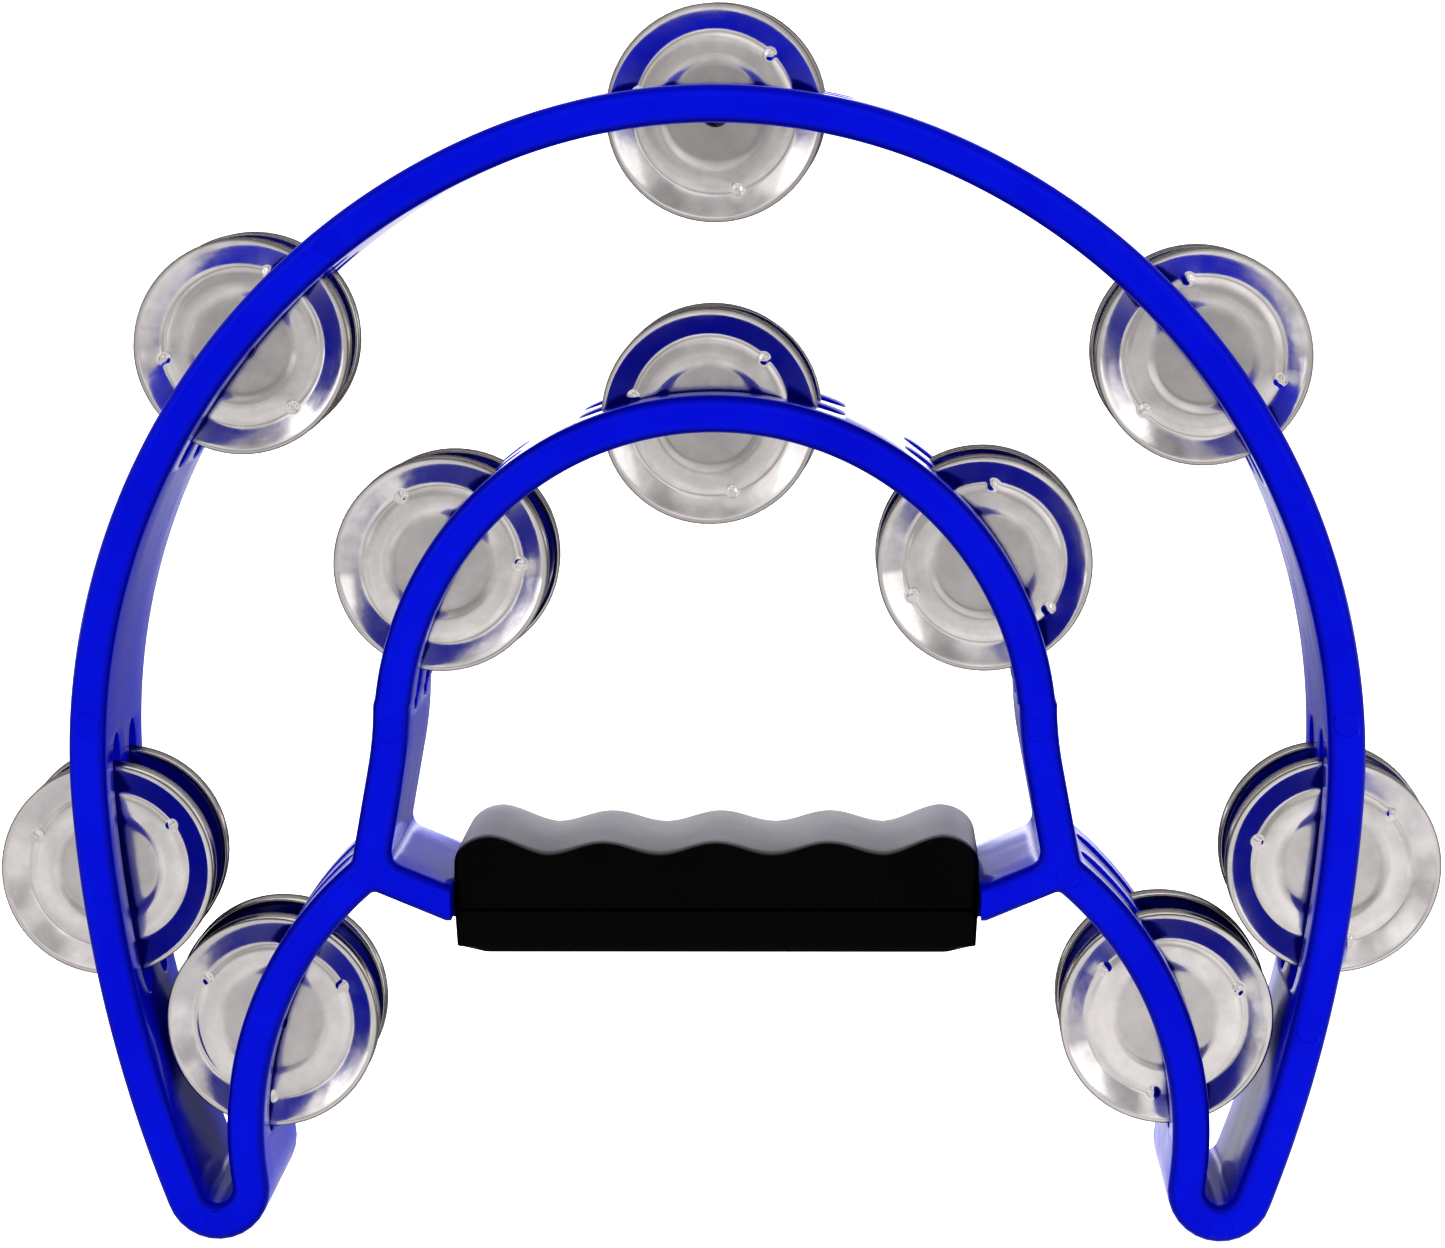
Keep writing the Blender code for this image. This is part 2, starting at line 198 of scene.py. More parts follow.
def band_half():
    """The right half of the outer band: crown, flank, horn tip and up the prong to the junction."""
    line = [(Vector((0.0, 0.0)), 0.0)]
    add_arc(line, CROWN_RADIUS, -CROWN_TURN)
    add_arc(line, SHOULDER_RADIUS, -SHOULDER_TURN)
    add_arc(line, FLANK_RADIUS, -FLANK_TURN)
    add_arc(line, HORN_RADIUS, -HORN_TURN)
    add_arc(line, PRONG_RADIUS, PRONG_TURN)
    lift = WALL / 2 - min(point.y for point, heading in line)
    return [(point + Vector((0.0, lift)), heading) for point, heading in line]


def bend(start, corner, end, count):
    """Points of a rounded corner, with their headings."""
    line = []
    for i in range(count + 1):
        t = i / count
        point = (1 - t) ** 2 * start + 2 * t * (1 - t) * corner + t * t * end
        way = (1 - t) * (corner - start) + t * (end - corner)
        line.append((point, math.atan2(way.y, way.x)))
    return line


def arch_half(crown, junction):
    """The right half of the inner arch, with its straight leg down to the junction."""
    line = [(crown, 0.0)]
    add_arc(line, ARCH_RADIUS, -90.0)
    knee = line.pop()[0]
    leg = (junction - knee).normalized()
    before = line[-1][0]
    start = knee + (before - knee).normalized() * KNEE_REACH
    end = knee + leg * KNEE_REACH
    while line[-1][0].y < start.y:
        line.pop()
    line += bend(start, knee, end, 12)
    line.append((junction, math.atan2(leg.y, leg.x)))
    return line


def bar_line(junction):
    """The whole handle bar, from the right junction to the left one."""
    elbow = Vector((GRIP_HALF_LENGTH + 2 * GRIP_CLEARANCE, BAR_HEIGHT))
    slope = elbow - junction
    slant = math.atan2(slope.y, slope.x) % (2 * math.pi)
    half = [(junction, slant), (elbow, (math.pi + slant) / 2), (Vector((0.0, BAR_HEIGHT)), math.pi)]
    return half + [(Vector((-p.x, p.y)), -h) for p, h in reversed(half[:-1])]


def line_length(half):
    return sum((b - a).length for (a, ha), (b, hb) in zip(half, half[1:]))


def place_on(half, distance):
    """The point and heading at a signed distance along a line that starts on the middle plane."""
    left = abs(distance)
    for (a, ha), (b, hb) in zip(half, half[1:]):
        length = (b - a).length
        if left <= length:
            break
        left -= length
    t = min(left / length, 1.0)
    sagitta = length * (hb - ha) / 2 * t * (1 - t)
    heading = ha + (hb - ha) * t
    point = a.lerp(b, t) - left_of(heading) * sagitta
    if distance < 0:
        return Vector((-point.x, point.y)), -heading
    return point, heading


def slot_span(name, distance):
    """The middle and half-length of a station's slots, along its line."""
    back, on = SLOT_REACHES.get(name) or SLOT_REACHES[name.split("_")[0]]
    return distance + math.copysign((on - back) / 2, distance), (back + on) / 2


def slot_profile(half_length, grow):
    """(distance from the slot's middle, half-width) along a slot, its edge moved out by grow."""
    straight = half_length - SLOT_END
    half = SLOT_WIDTH / 2 + grow
    angles = [math.radians(90 * i / SLOT_END_STEPS) for i in range(1, SLOT_END_STEPS + 1)]
    end = [(straight + (SLOT_END + grow) * math.sin(a), half * max(math.cos(a), 0.0)) for a in angles]
    end[-1] = (end[-1][0], 0.0)
    middle = [(straight * (2 * i / SLOT_STEPS - 1), half) for i in range(SLOT_STEPS + 1)]
    return [(-t, w) for t, w in reversed(end)] + middle + end


def columns(half, places):
    """Where a whole line's walls have a column of points: (point, heading, half-width of the slots there)."""
    length = line_length(half)
    marks, spans = [], []
    for name, distance in places.items():
        middle, half_length = slot_span(name, distance)
        run = [(middle + t, w) for t, w in slot_profile(half_length, SLOT_EDGE)]
        spans.append((run[0][0] - COLUMN_STEP / 2, run[-1][0] + COLUMN_STEP / 2))
        marks += run
    count = round(length / COLUMN_STEP)
    for i in range(-count, count + 1):
        distance = length * i / count
        if not any(low < distance < high for low, high in spans):
            marks.append((distance, 0.0))
    return [(*place_on(half, distance), width) for distance, width in sorted(marks)]


def offset(line, distance):
    """(point, slot half-width) along a line moved to its left. A sharp corner is mitred."""
    moved = []
    for i, (point, heading, *width) in enumerate(line):
        stretch = 1.0
        if 0 < i < len(line) - 1:
            before = (point - line[i - 1][0]).normalized()
            after = (line[i + 1][0] - point).normalized()
            stretch = 1.0 / math.sqrt((1 + before.dot(after)) / 2)
        moved.append((point + left_of(heading) * distance * stretch, width[0] if width else 0.0))
    return moved


def meeting(first, second):
    """Where the end of one polyline crosses the start of another: the point and both segments."""
    for i in reversed(range(len(first) - 1)):
        for j in range(min(len(second) - 1, 40)):
            a, b = first[i][0], first[i + 1][0] - first[i][0]
            c, d = second[j][0], second[j + 1][0] - second[j][0]
            area = b.x * d.y - b.y * d.x
            if abs(area) < 1e-15:
                continue
            t = ((c.x - a.x) * d.y - (c.y - a.y) * d.x) / area
            u = ((c.x - a.x) * b.y - (c.y - a.y) * b.x) / area
            if 0 <= t <= 1 and 0 <= u <= 1:
                return a + t * b, i, j
    raise ValueError("the lines do not meet")


def corner_between(first, second, fillet):
    """Both lines cut where they meet, and the rounded corner between them."""
    point, i, j = meeting(first, second)
    first, second = first[: i + 1], second[j + 1 :]
    while len(first) > 1 and (first[-1][0] - point).length < fillet:
        first.pop()
    while len(second) > 1 and (second[0][0] - point).length < fillet:
        second.pop(0)
    back = (first[-1][0] - point).normalized() * fillet
    ahead = (second[0][0] - point).normalized() * fillet
    corner = [(p, 0.0) for p, heading in bend(point + back, point, point + ahead, 6)]
    return first, corner, second


def closed_loop(first, second, fillet):
    """The loop that runs along the first line and back along the second."""
    first, corner_a, second = corner_between(first, second, fillet)
    second, corner_b, first = corner_between(second, first, fillet)
    return first + corner_a + second + corner_b


def inward(loop, side):
    """For each point of a closed loop, the mitred step into the material, which lies on that side."""
    steps = []
    for i, (point, width) in enumerate(loop):
        before = (point - loop[i - 1][0]).normalized()
        after = (loop[(i + 1) % len(loop)][0] - point).normalized()
        along = (before + after).normalized()
        steps.append(Vector((-along.y, along.x)) * side / max(along.dot(before), 0.5))
    return steps


# Frame

def rim_levels():
    """(y, inset) from the flat of the front rim round to the wall."""
    angles = [math.radians(90 * i / RIM_STEPS) for i in range(RIM_STEPS + 1)]
    rounded = [(RIM_ROUND * (1 - math.cos(a)) - DEPTH / 2, RIM_ROUND * (1 - math.sin(a))) for a in angles]
    return [(-DEPTH / 2, RIM_ROUND + RIM_FLAT)] + rounded


def add_walls(solid, loop, side):
    """The walls along one loop, open at the slots. Returns the edges along both rims."""
    rim = rim_levels()
    open_levels = (len(rim), len(rim) + 2)
    rings = []
    for (point, width), step in zip(loop, inward(loop, side)):
        slots = [(row + s * width, 0.0) for row in ROWS.values() for s in (-1, 1)]
        levels = rim + slots + [(-y, inset) for y, inset in reversed(rim)]
        rings.append([solid.verts.new((point.x + step.x * n, y, point.y + step.y * n)) for y, n in levels])
    for a, b in zip(rings, rings[1:] + rings[:1]):
        for level in range(len(a) - 1):
            if level not in open_levels:
                solid.faces.new((a[level], b[level], b[level + 1], a[level + 1]))
    pairs = list(zip(rings, rings[1:] + rings[:1]))
    return [[solid.edges.get((a[end], b[end])) for a, b in pairs] for end in (0, -1)]


def add_slot(solid, half, span, row):
    """The rounded edges and the inside of one slot, through the wall."""
    middle, half_length = span
    rings = []
    for side in (1, -1):
        edge = []
        for i in range(SLOT_EDGE_STEPS + 1):
            a = math.radians(90 * i / SLOT_EDGE_STEPS)
            profile = slot_profile(half_length, SLOT_EDGE * (1 - math.sin(a)))
            across = WALL / 2 - SLOT_EDGE * (1 - math.cos(a))
            ring = []
            for t, w in profile + [(t, -w) for t, w in reversed(profile[1:-1])]:
                point, heading = place_on(half, middle + t)
                point = point + left_of(heading) * side * across
                ring.append(solid.verts.new((point.x, row + w, point.y)))
            edge.append(ring)
        rings += edge if side > 0 else edge[::-1]
    for a, b in zip(rings, rings[1:]):
        for i in range(len(a)):
            j = (i + 1) % len(a)
            solid.faces.new((a[i], a[j], b[j], b[i]))


def rod(solid, radius, start, end, sides, centre=Vector((0.0, 0.0)), chamfer=0.0):
    """A closed rod along Y, with chamfered ends."""
    stops = [(start, radius), (end, radius)]
    if chamfer:
        stops = [(start, radius - chamfer), (start + chamfer, radius)]
        stops += [(end - chamfer, radius), (end, radius - chamfer)]
    angles = [2 * math.pi * k / sides for k in range(sides)]
    rings = []
    for y, r in stops:
        circle = [(centre.x + r * math.cos(a), y, centre.y + r * math.sin(a)) for a in angles]
        rings.append([solid.verts.new(point) for point in circle])
    for a, b in zip(rings, rings[1:]):
        for i in range(sides):
            j = (i + 1) % sides
            solid.faces.new((a[i], a[j], b[j], b[i]))
    solid.faces.new(rings[0])
    solid.faces.new(rings[-1])


def finished(solid, name, sharp=SHARP, weld=WELD):
    """The bmesh as a smooth-shaded mesh with its faces outwards."""
    if weld:
        bmesh.ops.remove_doubles(solid, verts=solid.verts, dist=weld)
    bmesh.ops.recalc_face_normals(solid, faces=solid.faces)
    mesh = bpy.data.meshes.new(name)
    solid.to_mesh(mesh)
    solid.free()
    mesh.shade_smooth()
    mesh.set_sharp_from_angle(angle=math.radians(sharp))
    return mesh


def add_object(name, mesh, material):
    item = bpy.data.objects.new(name, mesh)
    if material and not mesh.materials:
        mesh.materials.append(material)
    bpy.context.scene.collection.objects.link(item)
    return item


def combine(item, solid, operation):
    """Cut a mesh by a solid, or join the solid to it, for good."""
    tool = add_object("tool", finished(solid, "tool", weld=0.0), None)
    boolean = item.modifiers.new("combine", "BOOLEAN")
    boolean.operation = operation
    boolean.object = tool
    bpy.context.view_layer.update()
    mesh = bpy.data.meshes.new_from_object(item.evaluated_get(bpy.context.evaluated_depsgraph_get()))
    item.modifiers.clear()
    item.data = mesh
    mesh.set_sharp_from_angle(angle=math.radians(SHARP))
    bpy.data.objects.remove(tool)


def add_marks(shell, centres):
    """Round ejector marks: flat pads a little below the rim's plane, each in a hair-wide groove."""
    level = MARK_DEPTH - DEPTH / 2
    recess, pads = bmesh.new(), bmesh.new()
    for centre in centres:
        rod(recess, MARK_RADIUS, level - MARK_FOOT, level, MARK_SIDES, centre)
        rod(pads, MARK_RADIUS - MARK_WALL, level - MARK_PROUD, level + MARK_FOOT, MARK_SIDES, centre)
    combine(shell, recess, "DIFFERENCE")
    combine(shell, pads, "UNION")


def stations(band, arch):
    """Each station's line, its distance along it and its middle in the XZ plane."""
    found = {}
    for half, places in ((band, BAND_STATIONS), (arch, ARCH_STATIONS)):
        for name, distance in places.items():
            found[name] = (half, distance, place_on(half, distance)[0])
    return found


def make_frame(material):
    band = band_half()
    junction = band[-1][0]
    arch = arch_half(band[0][0] - Vector((0.0, ARCH_DROP)), junction)
    bar = bar_line(junction)
    places = stations(band, arch)

    band_columns, arch_columns = columns(band, BAND_STATIONS), columns(arch, ARCH_STATIONS)
    outer = closed_loop(offset(band_columns, WALL / 2), offset(bar, BAR_WALL / 2), CORNER_FILLET)
    arch_back = offset(arch_columns, WALL / 2)[::-1]
    crescent = closed_loop(offset(band_columns, -WALL / 2), arch_back, CORNER_FILLET)
    window = closed_loop(offset(arch_columns, -WALL / 2), offset(bar, -BAR_WALL / 2), INNER_FILLET)

    solid = bmesh.new()
    front, rear = [], []
    for loop, side in ((outer, -1), (crescent, 1), (window, 1)):
        edges = add_walls(solid, loop, side)
        front += edges[0]
        rear += edges[1]
    for edges in (front, rear):
        bmesh.ops.triangle_fill(solid, use_beauty=True, use_dissolve=False, edges=edges)
    for name, (half, distance, point) in places.items():
        for row in ROWS.values():
            add_slot(solid, half, slot_span(name, distance), row)
    shell = add_object("frame_shell", finished(solid, "frame_shell"), material)

    cutter = bmesh.new()
    for half, distance, point in places.values():
        rod(cutter, PIN_HOLE, PIN_FRONT_STOP - DEPTH / 2, DEPTH / 2 + PIN_HOLE, PIN_SIDES, point)
    for side in (-1, 1):
        length = 2 * (GRIP_HALF_LENGTH + GRIP_CLEARANCE)
        size = Matrix.Diagonal((length, DEPTH - CORE_DEPTH, 3 * BAR_WALL, 1.0))
        place = Matrix.Translation((0.0, side * DEPTH / 2, BAR_HEIGHT))
        bmesh.ops.create_cube(cutter, size=1.0, matrix=place @ size)
    combine(shell, cutter, "DIFFERENCE")
    centres = [place_on(band, distance)[0] for distance in BAND_MARKS]
    centres += [place_on(arch, distance)[0] for distance in ARCH_MARKS]
    add_marks(shell, centres)
    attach(shell, "frame")
    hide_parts("frame")


# Grip

def loft(solid, sections):
    """A closed solid through sections of equal numbers of points."""
    rings = [[solid.verts.new(point) for point in section] for section in sections]
    for a, b in zip(rings, rings[1:]):
        for i in range(len(a)):
            j = (i + 1) % len(a)
            solid.faces.new((a[i], a[j], b[j], b[i]))
    for ring in (rings[0], rings[-1]):
        bmesh.ops.triangulate(solid, faces=[solid.faces.new(ring)])


def groove_at(x):
    """0 on a crest of the grip's top and past the last crests, 1 at the bottom of a groove."""
    if abs(x) >= 2 * WAVE_PITCH:
        return 0.0
    return (1 - math.cos(2 * math.pi * x / WAVE_PITCH)) / 2


def wave_points():
    """(x, height) along the grip's front top edge, with a higher round lobe at each end."""
    last_crest, last_groove = 2 * WAVE_PITCH, 1.5 * WAVE_PITCH
    points = []
    for i in range(WAVE_STEPS + 1):
        x = last_crest * (2 * i / WAVE_STEPS - 1)
        lobe = END_LOBE_RISE * max(0.0, abs(x) - last_groove) / (last_crest - last_groove)
        points.append((x, WAVE_MEAN + WAVE_HEIGHT * math.cos(2 * math.pi * x / WAVE_PITCH) + lobe))
    crest = points[-1][1]
    width = GRIP_HALF_LENGTH - last_crest
    falls = [math.radians(a) for a in range(6, 91, 6)]
    end = [(last_crest + width * math.sin(a), crest - END_LOBE_DROP * (1 - math.cos(a))) for a in falls]
    return [(-x, z) for x, z in reversed(end)] + points + end


def plan_inset(x, length):
    """How far the grip's long faces draw in near its ends, as its upright corners are round."""
    into = abs(x) - (length - END_ROUND)
    if into <= 0:
        return 0.0
    return END_ROUND - math.sqrt(max(END_ROUND**2 - into**2, 0.0))


def make_grip_upper(material):
    floor = SEAM_HEIGHT + GRIP_CLEARANCE / 2
    roof = BAR_HEIGHT + BAR_WALL / 2 + GRIP_CLEARANCE
    channel = CORE_DEPTH / 2 + GRIP_CLEARANCE
    sections = []
    for x, z in wave_points():
        groove = groove_at(x)
        foot = GRIP_DEPTH / 2 - plan_inset(x, GRIP_HALF_LENGTH)
        lip = CREST_LIP + (GROOVE_LIP - CREST_LIP) * groove
        crown = CREST_CROWN + (GROOVE_CROWN - CREST_CROWN) * groove
        low = z - lip
        half = foot - GRIP_TAPER
        front = [(-foot + SEAM_CHAMFER, floor), (-foot, floor + SEAM_CHAMFER)]
        front += [(-(foot + half) / 2, (floor + low) / 2), (-half, low)]
        for i in range(1, LIP_STEPS + 1):
            a = math.radians(90 * i / LIP_STEPS)
            front.append((-half + lip * (1 - math.cos(a)), low + lip * math.sin(a)))
        shares = [k / TOP_STEPS - 1 for k in range(1, TOP_STEPS + 1)]
        across = [((half - lip) * share, z + crown * (1 - share**2)) for share in shares]
        outline = front + across
        outline += [(-y, h) for y, h in reversed(front + across[:-1])]
        outline += [(channel, floor), (channel, roof), (-channel, roof), (-channel, floor)]
        sections.append([(x, y, h) for y, h in outline])
    solid = bmesh.new()
    loft(solid, sections)
    return add_object("grip_top", finished(solid, "grip_top", sharp=40.0, weld=0.0), material)


def make_grip_lower(material):
    roof = SEAM_HEIGHT - GRIP_CLEARANCE / 2
    deck = BAR_HEIGHT - BAR_WALL / 2 - GRIP_CLEARANCE
    channel = CORE_DEPTH / 2 + GRIP_CLEARANCE
    length = GRIP_HALF_LENGTH - BASE_SET_IN
    edge = BASE_EDGE
    sections = []
    for i in range(BASE_STEPS + 1):
        x = -length * math.cos(math.pi * i / BASE_STEPS)
        half = GRIP_DEPTH / 2 - BASE_SET_IN / 2 - plan_inset(x, length)
        rise = BOTTOM_CHAMFER * max(0.0, (abs(x) - (length - END_CHAMFER)) / END_CHAMFER)
        floor = GRIP_BOTTOM + rise
        side_foot = max(floor, GRIP_BOTTOM + BOTTOM_CHAMFER)
        front = [
            (-half + edge, roof),
            (-half, roof - edge),
            (-half, side_foot + edge),
            (-half + edge * 0.4, side_foot),
            (-half + BOTTOM_CHAMFER - edge, floor + edge * 0.4),
            (-half + BOTTOM_CHAMFER + edge, floor),
            (-half / 2, floor),
        ]
        outline = front + [(-y, h) for y, h in reversed(front)]
        outline += [(channel, roof), (channel, deck), (-channel, deck), (-channel, roof)]
        draft = BASE_DRAFT if abs(x) > length - END_CHAMFER else 1.0
        sections.append([(x if h > side_foot + 2 * edge else x * draft, y, h) for y, h in outline])
    solid = bmesh.new()
    loft(solid, sections)
    return add_object("grip_base", finished(solid, "grip_base", sharp=28.0, weld=0.0), material)


# Jingles and pins

def smoothed(points, rounds=2):
    """A closed polygon with its corners cut off again and again."""
    for _ in range(rounds):
        cut = []
        for a, b in zip(points, points[1:] + points[:1]):
            cut += [a.lerp(b, 0.25), a.lerp(b, 0.75)]
        points = cut
    return points


def jingle_profile():
    """The closed section of a jingle as (radius, rise of that point towards its open face)."""
    face = [
        (JINGLE_HOLE, 0.0),
        (JINGLE_HOLE + 0.5 * MM, 0.0),
        (6.0 * MM, 0.0),
        (8.5 * MM, 0.0),
        (9.2 * MM, 0.03 * MM),
        (9.8 * MM, 0.12 * MM),
        (10.4 * MM, 0.21 * MM),
        (10.9 * MM, 0.25 * MM),
        (12.0 * MM, 0.26 * MM),
        (13.4 * MM, 0.22 * MM),
        (14.2 * MM, 0.13 * MM),
        (14.7 * MM, 0.01 * MM),
        (15.05 * MM, -0.01 * MM),
        (15.4 * MM, 0.08 * MM),
        (16.0 * MM, 0.348 * MM),
        (17.0 * MM, 0.825 * MM),
        (18.0 * MM, 1.33 * MM),
        (19.2 * MM, 1.97 * MM),
        (19.45 * MM, 2.05 * MM),
        (19.75 * MM, 2.07 * MM),
        (JINGLE_RADIUS, 2.04 * MM),
    ]
    face = [(r, rise + SHEET) for r, rise in face]
    back = [(r, rise - SHEET) for r, rise in reversed(face)]
    return smoothed([Vector(point) for point in face + back])


def dimple_rise(x, z):
    """How far the three dimples lift the sheet at a point."""
    total = 0.0
    for k in range(DIMPLES):
        angle = 2 * math.pi * k / DIMPLES
        away = math.hypot(x - JINGLE_CREASE * math.cos(angle), z - JINGLE_CREASE * math.sin(angle))
        total += DIMPLE_RISE * max(0.0, 1 - (away / DIMPLE_RADIUS) ** 2) ** 2
        total += SKIRT_SHARE * DIMPLE_RISE * math.exp(-((away / DIMPLE_SKIRT) ** 2))
    return total


def jingle_mesh(material):
    """A stamped disc about the Y axis, with its open face to -Y, finer near its dimples."""
    angles = []
    for k in range(DIMPLES):
        middle = 360 * k / DIMPLES
        angles += [middle + 1.1 * i for i in range(-9, 10)]
        angles += [middle + 15 + 5 * i for i in range(19)]
    profile = jingle_profile()
    solid = bmesh.new()
    rings = []
    for degrees in sorted(angle % 360 for angle in angles):
        c, s = math.cos(math.radians(degrees)), math.sin(math.radians(degrees))
        lift = [dimple_rise(r * c, r * s) for r, rise in profile]
        rings.append([solid.verts.new((r * c, -rise - up, r * s)) for (r, rise), up in zip(profile, lift)])
    for a, b in zip(rings, rings[1:] + rings[:1]):
        for i in range(len(a)):
            j = (i + 1) % len(a)
            solid.faces.new((a[i], a[j], b[j], b[i]))
    mesh = finished(solid, "jingle", sharp=60.0, weld=0.0)
    mesh.materials.append(material)
    return mesh


def make_jingles(material):
    mesh = jingle_mesh(material)
    for name, (dimples, right, up) in FRONT_JINGLES.items():
        pin_low, pin_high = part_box("pin_" + name)
        pin = (pin_low + pin_high) / 2
        for row_name, row in ROWS.items():
            lean = Vector((rng.uniform(-PAIR_LEAN, PAIR_LEAN), rng.uniform(-PAIR_LEAN, PAIR_LEAN)))
            for number, way in ((1, -1), (2, 1)):
                turn, swing = rng.uniform(0, 120), rng.uniform(-SWING, SWING)
                if row_name == "front":
                    hang = Vector((right, 0.0, up))
                    turn = dimples if number == 1 else turn
                else:
                    down = math.radians(swing)
                    hang = Vector((math.sin(down), 0.0, -math.cos(down))) * HANG
                own = Vector((rng.uniform(-OWN_LEAN, OWN_LEAN), rng.uniform(-OWN_LEAN, OWN_LEAN)))
                tilt_x, tilt_z = lean + own
                rest = Matrix.Translation(Vector((pin.x, row + way * PAIR_GAP / 2, pin.z)) + hang)
                spin = Matrix.Rotation(math.radians(-turn), 4, "Y")
                flip = Matrix.Rotation(math.pi if way > 0 else 0.0, 4, "Z")
                tilt = Matrix.Rotation(math.radians(tilt_x), 4, "X")
                tilt = tilt @ Matrix.Rotation(math.radians(tilt_z), 4, "Z")
                node = f"jingle_{name}_{row_name}_{number}"
                disc = add_object(node.replace("jingle", "disc"), mesh, None)
                disc.matrix_world = rest @ tilt @ flip @ spin
                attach(disc, node)
                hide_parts(node)


def make_pins(material):
    for name in FRONT_JINGLES:
        low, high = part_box("pin_" + name)
        solid = bmesh.new()
        rod(solid, PIN_RADIUS, low.y, high.y, PIN_SIDES, chamfer=0.2 * MM)
        pin = add_object("rivet_" + name, finished(solid, "rivet", weld=0.0), material)
        pin.location = ((low.x + high.x) / 2, 0.0, (low.z + high.z) / 2)
        bpy.context.view_layer.update()
        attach(pin, "pin_" + name)
        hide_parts("pin_" + name)


# Materials

class Shader:
    """A Principled material and short calls for the nodes that feed it."""

    def __init__(self, name):
        self.material = bpy.data.materials.new(name)
        self.material.use_nodes = True
        self.tree = self.material.node_tree
        self.main = self.tree.nodes["Principled BSDF"]
        coordinates = self.tree.nodes.new("ShaderNodeTexCoord")
        self.place = coordinates.outputs["Object"]
        self.normal = coordinates.outputs["Normal"]

    def set(self, **values):
        for name, value in values.items():
            self.main.inputs[name.replace("_", " ")].default_value = value

    def link(self, source, target):
        self.tree.links.new(source, target)

    def node(self, kind, inputs=(), **settings):
        made = self.tree.nodes.new(kind)
        for name, value in settings.items():
            setattr(made, name, value)
        for name, value in dict(inputs).items():
            if isinstance(value, bpy.types.NodeSocket):
                self.link(value, made.inputs[name])
            else:
                made.inputs[name].default_value = value
        return made

    def noise(self, scale, detail=3.0, roughness=0.5, stretch=None):
        place = self.place
        if stretch:
            place = self.node("ShaderNodeMapping", {"Vector": place, "Scale": stretch}).outputs["Vector"]
        inputs = {"Vector": place, "Scale": scale, "Detail": detail, "Roughness": roughness}
        return self.node("ShaderNodeTexNoise", inputs).outputs["Fac"]

    def ramp(self, value, low, high, low_value, high_value):
        inputs = {"Value": value, "From Min": low, "From Max": high}
        inputs.update({"To Min": low_value, "To Max": high_value})
        return self.node("ShaderNodeMapRange", inputs).outputs["Result"]

    def math(self, operation, a, b=0.0):
        return self.node("ShaderNodeMath", {0: a, 1: b}, operation=operation).outputs[0]

    def mix(self, factor, a, b):
        made = self.node("ShaderNodeMix", data_type="RGBA")
        for index, value in ((0, factor), (6, a), (7, b)):
            if isinstance(value, bpy.types.NodeSocket):
                self.link(value, made.inputs[index])
            else:
                made.inputs[index].default_value = value
        return made.outputs[2]

    def bump(self, height, distance, strength=1.0, normal=None):
        inputs = {"Height": height, "Distance": distance, "Strength": strength}
        if normal:
            inputs["Normal"] = normal
        return self.node("ShaderNodeBump", inputs).outputs["Normal"]


def blue_plastic():
    """Glossy moulded plastic, with faint flow marks, a fine orange peel and a few hair scratches, and painted
    shade on the rounded edges of its rims.
    """
    shader = Shader("blue_plastic")
    shader.set(Metallic=0.0, IOR=1.5, Specular_IOR_Level=0.1)
    flow = shader.noise(28.0, 4.0, 0.6, (1.0, 0.35, 1.0))
    cloudy = shader.noise(160.0, 3.0)
    colour = shader.mix(
        shader.ramp(flow, 0.35, 0.65, 0.0, 1.0), (0.0, 0.007, 0.62, 1.0), (0.0004, 0.012, 0.69, 1.0)
    )
    # Painted shade: the rims' rounded edges are darkened towards deep navy, most from about 0.6 to 1.2 mm
    # below the rim's plane.
    parts = shader.node("ShaderNodeSeparateXYZ", {"Vector": shader.place})
    below_rim = shader.math("SUBTRACT", DEPTH / 2, shader.math("ABSOLUTE", parts.outputs["Y"]))
    into = shader.ramp(below_rim, 0.1 * MM, 0.6 * MM, 0.0, 1.0)
    out_of = shader.ramp(below_rim, 1.2 * MM, 2.6 * MM, 1.0, 0.0)
    edge = shader.math("MULTIPLY", shader.math("MULTIPLY", into, out_of), 0.5)
    colour = shader.mix(edge, colour, (0.0, 0.002, 0.12, 1.0))
    shader.link(colour, shader.main.inputs["Base Color"])
    dull = shader.ramp(flow, 0.3, 0.7, 0.0, 0.03)
    rough = shader.math("ADD", shader.ramp(cloudy, 0.3, 0.7, 0.09, 0.16), dull)
    shader.link(rough, shader.main.inputs["Roughness"])
    peel = shader.bump(shader.noise(900.0, 2.0), 0.004 * MM)
    scratch = shader.ramp(shader.noise(70.0, 5.0, 0.7, (1.0, 14.0, 3.0)), 0.66, 0.72, 0.0, 1.0)
    wave = shader.bump(shader.noise(120.0, 1.0), 0.03 * MM, 1.0, peel)
    shader.link(shader.bump(scratch, 0.006 * MM, 1.0, wave), shader.main.inputs["Normal"])
    return shader.material


